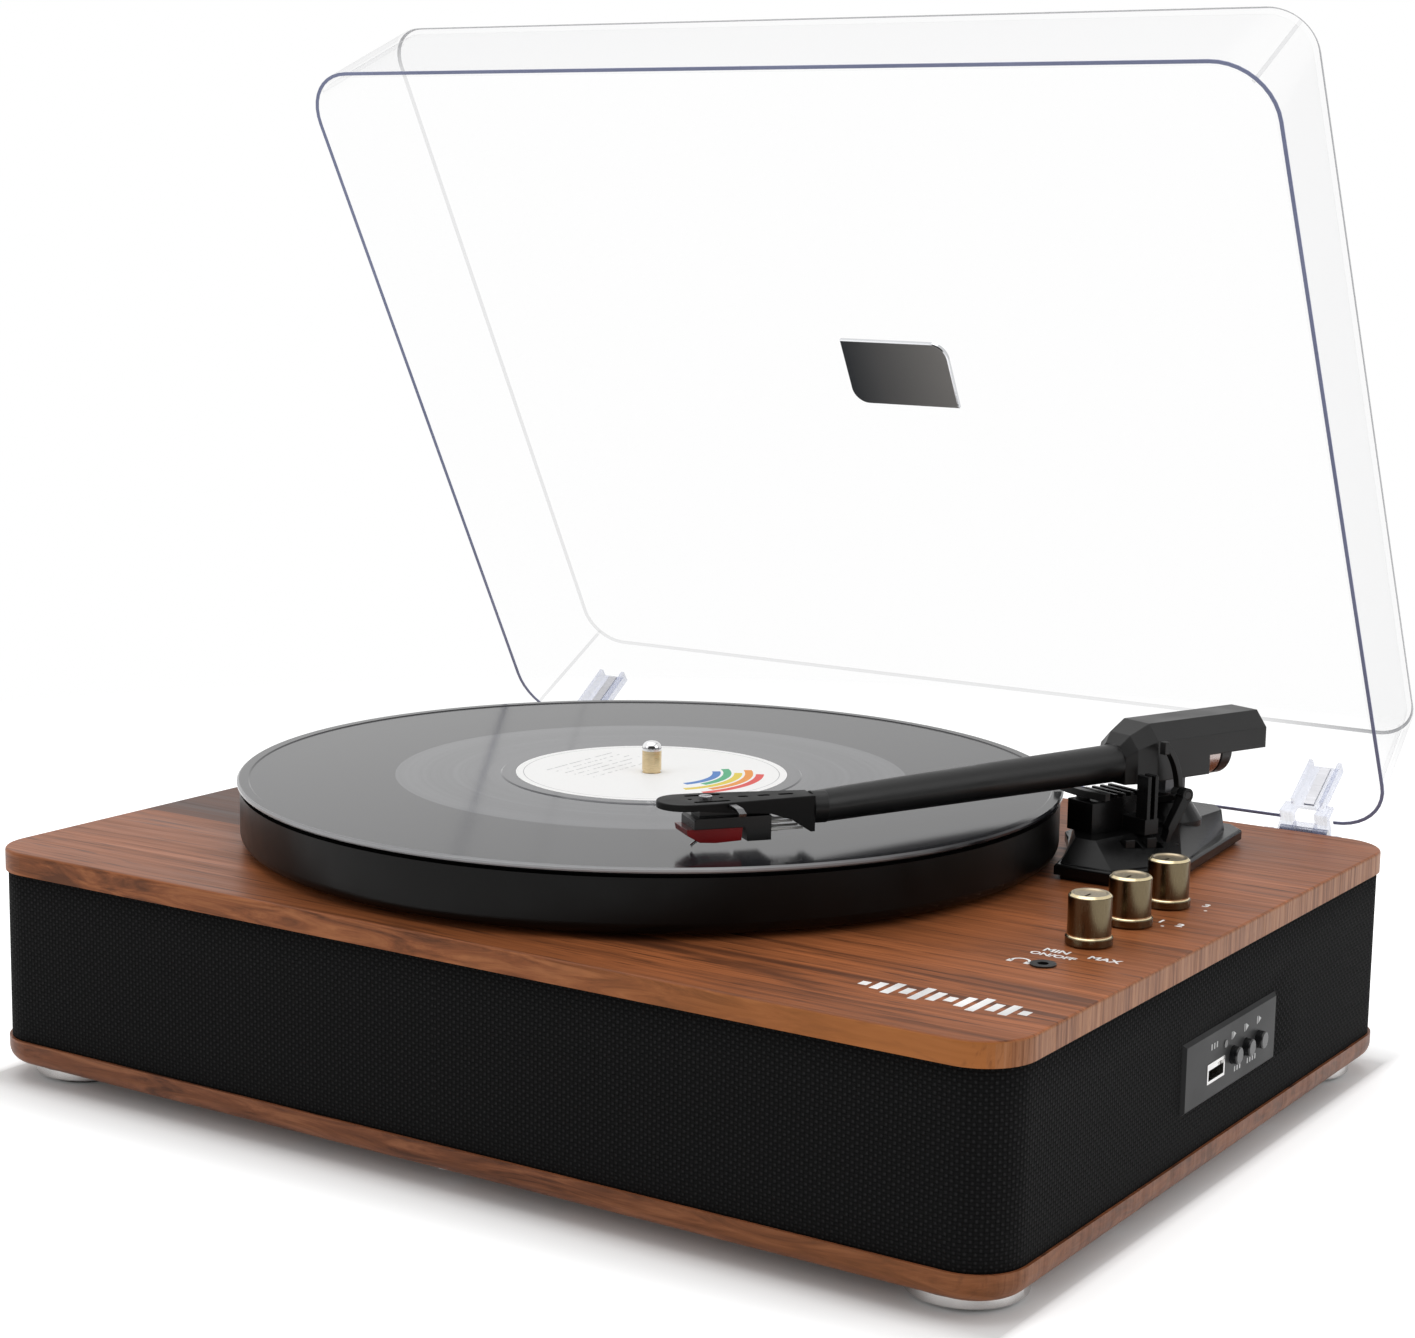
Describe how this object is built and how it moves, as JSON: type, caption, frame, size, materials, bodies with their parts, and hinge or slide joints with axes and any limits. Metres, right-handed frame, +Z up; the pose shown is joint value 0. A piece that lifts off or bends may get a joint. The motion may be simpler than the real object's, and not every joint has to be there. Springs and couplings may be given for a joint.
{
  "type": "record player",
  "caption": "Belt-drive record player: wooden plinth with cloth sides and built-in speakers, platter, tonearm with cue lever, knobs, side media panel and hinged clear dust cover.",
  "frame": {"origin": "on the floor under the middle of the player's box with the dust cover open as in the picture; the plinth's middle is 23.8 mm in front of it", "axes": "+Z up from the floor, -Y to the front of the player, +X to its right (knobs and side panel)"},
  "size_m": [0.4128, 0.3636, 0.3842],
  "materials": {
    "walnut": "satin lacquer",
    "walnut_dark": "satin lacquer",
    "fibreboard": "raw",
    "grille_cloth": "basket weave",
    "spun_aluminium": "spun",
    "pad_rubber": "matte",
    "steel": "plain",
    "cone_paper": "pressed",
    "basket_steel": "black",
    "bearing_brass": "turned",
    "spindle_brass": "polished",
    "motor_can": "plated",
    "belt_rubber": "ground",
    "platter_black": "satin",
    "mat_black": "matte",
    "vinyl": "pressed grooves",
    "label_paper": "printed",
    "arm_black": "satin",
    "base_black": "satin",
    "lift_grey": "satin",
    "yoke_metal": "anodised",
    "weight_metal": "turned",
    "gunmetal": "satin",
    "cartridge_black": "moulded",
    "stylus_red": "moulded",
    "pin_metal": "plated",
    "knob_brass": "antique polish",
    "circuit_board": "solder mask",
    "component_black": "moulded",
    "jack_metal": "plated",
    "panel_grey": "satin",
    "button_black": "moulded",
    "socket_metal": "plated",
    "lamp_lens": "clear",
    "inlet_black": "moulded",
    "clear_acrylic": "polished clear",
    "hinge_clear": "clear",
    "spring_steel": "plain",
    "badge_dark": "gloss with a bright edge"
  },
  "bodies": {
    "cabinet": {"top_board": "walnut", "cabinet_frame": "fibreboard", "grille_cloth": "grille_cloth", "bottom_board": "walnut_dark", "feet": "spun_aluminium", "foot_pads": "pad_rubber", "underside_screws": "steel", "speaker_baskets": "basket_steel", "speaker_cones": "cone_paper", "bearing_housing": "bearing_brass", "motor": "motor_can", "drive_belt": "belt_rubber", "tonearm_base": "base_black", "arm_rest": "base_black", "amplifier_board": "circuit_board", "control_board": "circuit_board", "potentiometers": "component_black", "headphone_jack": "jack_metal", "side_panel": "panel_grey", "panel_board": "circuit_board", "usb_socket": "socket_metal", "led_lens": "lamp_lens", "rear_panel": "panel_grey", "dc_inlet": "inlet_black", "rca_jacks": "jack_metal", "hinge_bases": "hinge_clear", "hinge_pins": "steel", "hinge_screws": "steel"},
    "turntable": {"platter": "platter_black", "platter_mat": "mat_black", "spindle": "spindle_brass", "record": "vinyl", "record_label": "label_paper"},
    "pulley": {"motor_pulley": "bearing_brass"},
    "lid": {"dust_cover": "clear_acrylic", "hinge_leaves": "hinge_clear", "hinge_springs": "spring_steel", "lid_badge": "badge_dark"},
    "swivel": {"arm_yoke": "yoke_metal"},
    "arm": {"tonearm": "arm_black", "pivot_pin": "steel", "counterweight": "weight_metal", "headshell": "arm_black", "headshell_screw": "steel", "finger_lift": "gunmetal", "cartridge": "cartridge_black", "stylus_holder": "stylus_red", "cantilever": "pin_metal", "cartridge_pins": "pin_metal"},
    "lift": {"lift_platform": "lift_grey"},
    "lever": {"cue_lever": "arm_black"},
    "volume": {"knob_volume": "knob_brass"},
    "tone": {"knob_tone": "knob_brass"},
    "source": {"knob_source": "knob_brass"},
    "previous": {"button_previous": "button_black"},
    "play": {"button_play": "button_black"},
    "next": {"button_next": "button_black"},
    "speed": {"switch_speed": "base_black"},
    "stop": {"switch_stop": "base_black"}
  },
  "joints": [
    {"name": "lid_hinge", "type": "hinge", "parent": "cabinet", "child": "lid", "pos_m": [0, 0.1384, 0.0845], "axis": [1, 0, 0], "range_deg": [0, 61]},
    {"name": "platter_spin", "type": "hinge", "parent": "cabinet", "child": "turntable", "pos_m": [-0.0236, -0.0235, 0.0852], "axis": [0, 0, 1], "continuous": true},
    {"name": "pulley_spin", "type": "hinge", "parent": "cabinet", "child": "pulley", "pos_m": [-0.11453, 0.029, 0.0852], "axis": [0, 0, 1], "continuous": true},
    {"name": "arm_swing", "type": "hinge", "parent": "cabinet", "child": "swivel", "pos_m": [0.14, 0.0712, 0.1052], "axis": [0, 0, 1], "range_deg": [-20, 11]},
    {"name": "arm_tilt", "type": "hinge", "parent": "swivel", "child": "arm", "pos_m": [0.14, 0.0712, 0.1212], "axis": [-0.9336, 0.3584, 0], "range_deg": [0, 2.5]},
    {"name": "lift_slide", "type": "slide", "parent": "cabinet", "child": "lift", "axis": [0, 0, 1], "range_m": [0, 0.00285]},
    {"name": "lever_turn", "type": "hinge", "parent": "cabinet", "child": "lever", "pos_m": [0.15145, 0.0547, 0.1112], "axis": [-0.9336, 0.3584, 0], "range_deg": [0, 25.5]},
    {"name": "volume_turn", "type": "hinge", "parent": "cabinet", "child": "volume", "pos_m": [0.1743, -0.0653, 0.0852], "axis": [0, 0, -1], "range_deg": [0, 280]},
    {"name": "tone_turn", "type": "hinge", "parent": "cabinet", "child": "tone", "pos_m": [0.1743, -0.0346, 0.0852], "axis": [0, 0, -1], "range_deg": [-140, 140]},
    {"name": "source_turn", "type": "hinge", "parent": "cabinet", "child": "source", "pos_m": [0.1743, -0.0039, 0.0852], "axis": [0, 0, -1], "range_deg": [-60, 60]},
    {"name": "previous_press", "type": "slide", "parent": "cabinet", "child": "previous", "axis": [-1, 0, 0], "range_m": [0, 0.001], "stiffness_N_per_m": 400},
    {"name": "play_press", "type": "slide", "parent": "cabinet", "child": "play", "axis": [-1, 0, 0], "range_m": [0, 0.001], "stiffness_N_per_m": 400},
    {"name": "next_press", "type": "slide", "parent": "cabinet", "child": "next", "axis": [-1, 0, 0], "range_m": [0, 0.001], "stiffness_N_per_m": 400},
    {"name": "speed_slide", "type": "slide", "parent": "cabinet", "child": "speed", "axis": [0.4695, 0.8829, 0], "range_m": [0, 0.003]},
    {"name": "stop_slide", "type": "slide", "parent": "cabinet", "child": "stop", "axis": [0.4695, 0.8829, 0], "range_m": [0, 0.003]}
  ],
  "couplings": [
    {"joint": "pulley_spin", "follows": "platter_spin", "ratio": 15},
    {"joint": "lift_slide", "follows": "arm_tilt", "m_per_rad": 0.064},
    {"joint": "lever_turn", "follows": "arm_tilt", "ratio": 10}
  ]
}
